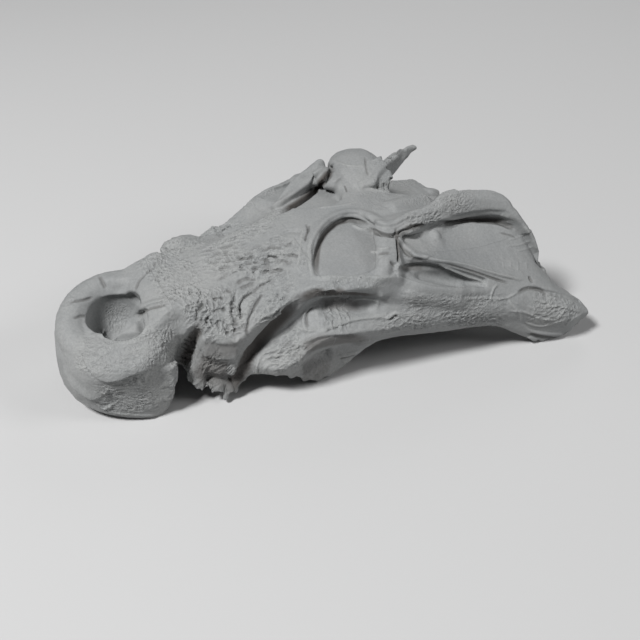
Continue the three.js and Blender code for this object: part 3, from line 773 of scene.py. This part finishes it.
def part_off(name, *spans, less=()):
    """Copies what the stone body has inside the spans, closes it and keeps its largest lump."""
    room = block(spans[0])
    for more in spans[1:]:
        cut(room, "UNION", block(more))
    for other in less:
        cut(room, "DIFFERENCE", block(other, -seam))
    bpy.ops.object.select_all(action="DESELECT")
    stone.select_set(True)
    bpy.context.view_layer.objects.active = stone
    bpy.ops.object.duplicate()
    piece = bpy.context.object
    cut(piece, "INTERSECT", room)
    bpy.ops.mesh.separate(type="LOOSE")
    lumps = sorted(bpy.context.selected_objects, key=lambda lump: len(lump.data.vertices))
    for chip in lumps[:-1]:
        bpy.data.objects.remove(chip)
    piece = lumps[-1]
    piece.name = name + "_bone"
    piece.data.name = name + "_bone"
    piece.data.materials.clear()
    piece.data.materials.append(bone)
    bpy.context.view_layer.objects.active = piece
    bpy.ops.object.shade_smooth_by_angle(angle=math.radians(55))
    return piece


premaxilla = part_off("premaxilla", (any_way, (-far, notch_y), any_way))
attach(premaxilla, "root")
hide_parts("premaxilla")

# Nasals.
# A long strip along the top of the snout, let in between the two upper jaw bones.
face_y = -0.02
nose = ((-0.024, 0.02), (notch_y, face_y), (0.08318, far))
nasal = part_off("nasal", nose)
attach(nasal, "root")
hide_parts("nasal")

# Left upper jaw.
# The cheek with its overhanging brow of rough bone, and below it the two bulges of the tooth row.
maxilla_left = part_off("maxilla_left", ((midline, far), (notch_y, face_y), any_way), less=[nose])
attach(maxilla_left, "root")
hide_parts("maxilla_left")

# Right upper jaw.
# The same bone of the other side, with a smooth knob over its greatest tooth.
maxilla_right = part_off(
    "maxilla_right", ((-far, midline), (notch_y, face_y), any_way), less=[nose]
)
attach(maxilla_right, "root")
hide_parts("maxilla_right")

# Frontal.
# The roof between the eye sockets, with the sockets' rims, floors and the tops of their rear bars.
cheek_left, cheek_right = 0.088, -0.092
temple_y, brow_z = 0.084, 0.09918
frontal = part_off("frontal", ((cheek_right, cheek_left), (face_y, temple_y), (brow_z, far)))
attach(frontal, "root")
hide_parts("frontal")

# Palatines.
# The floor of the skull under the eyes, with the long pits of the palate.
palatine = part_off("palatine", ((cheek_right, cheek_left), (face_y, temple_y), (-far, brow_z)))
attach(palatine, "root")
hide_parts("palatine")

# Left cheek bone.
# The bar under the eye and the lower temporal opening, rough outside and ragged along its edge.
joint_y = 0.202
jugal_left = part_off("jugal_left", ((cheek_left, far), (face_y, joint_y), any_way))
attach(jugal_left, "root")
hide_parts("jugal_left")

# Right cheek bone.
# The same bar of the other side, standing up as a rounded rim beside its eye socket.
jugal_right = part_off("jugal_right", ((-far, cheek_right), (face_y, joint_y), any_way))
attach(jugal_right, "root")
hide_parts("jugal_right")

# Skull table.
# The squamosal crest of the left side, which overhangs the smooth wall behind the eye.
case_left, case_right = 0.032, -0.036
eave_z, palate_z = 0.12318, 0.05118
skull_table = part_off("skull_table", ((case_right, cheek_left), (temple_y, far), (eave_z, far)))
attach(skull_table, "root")
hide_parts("skull_table")

# Braincase.
# The middle of the back of the skull, with the ball that met the neck.
braincase = part_off("braincase", ((case_right, case_left), (temple_y, far), (palate_z, eave_z)))
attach(braincase, "root")
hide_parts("braincase")

# Pterygoids.
# The plate behind the palate, whose two wings hang down beside the throat and carry the skull.
pterygoid = part_off(
    "pterygoid", ((cheek_right, cheek_left), (temple_y, joint_y), (-far, palate_z))
)
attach(pterygoid, "root")
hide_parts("pterygoid")

# Left temple and jaw joint.
# The smooth wall under the table, the thin lower bar, and the flared plate of the joint.
temporal_left = part_off(
    "temporal_left",
    ((case_left, cheek_left), (temple_y, far), (palate_z, eave_z)),
    ((case_left, far), (joint_y, far), (-far, eave_z)),
)
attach(temporal_left, "root")
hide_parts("temporal_left")

# Right temple and jaw joint.
# Broken on this side: a swollen corner, a splinter of the eave, and a joint snapped off obliquely.
temporal_right = part_off(
    "temporal_right",
    ((cheek_right, case_right), (temple_y, far), (palate_z, far)),
    ((-far, case_right), (joint_y, far), (-far, eave_z)),
)
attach(temporal_right, "root")
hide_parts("temporal_right")

bpy.data.objects.remove(stone)
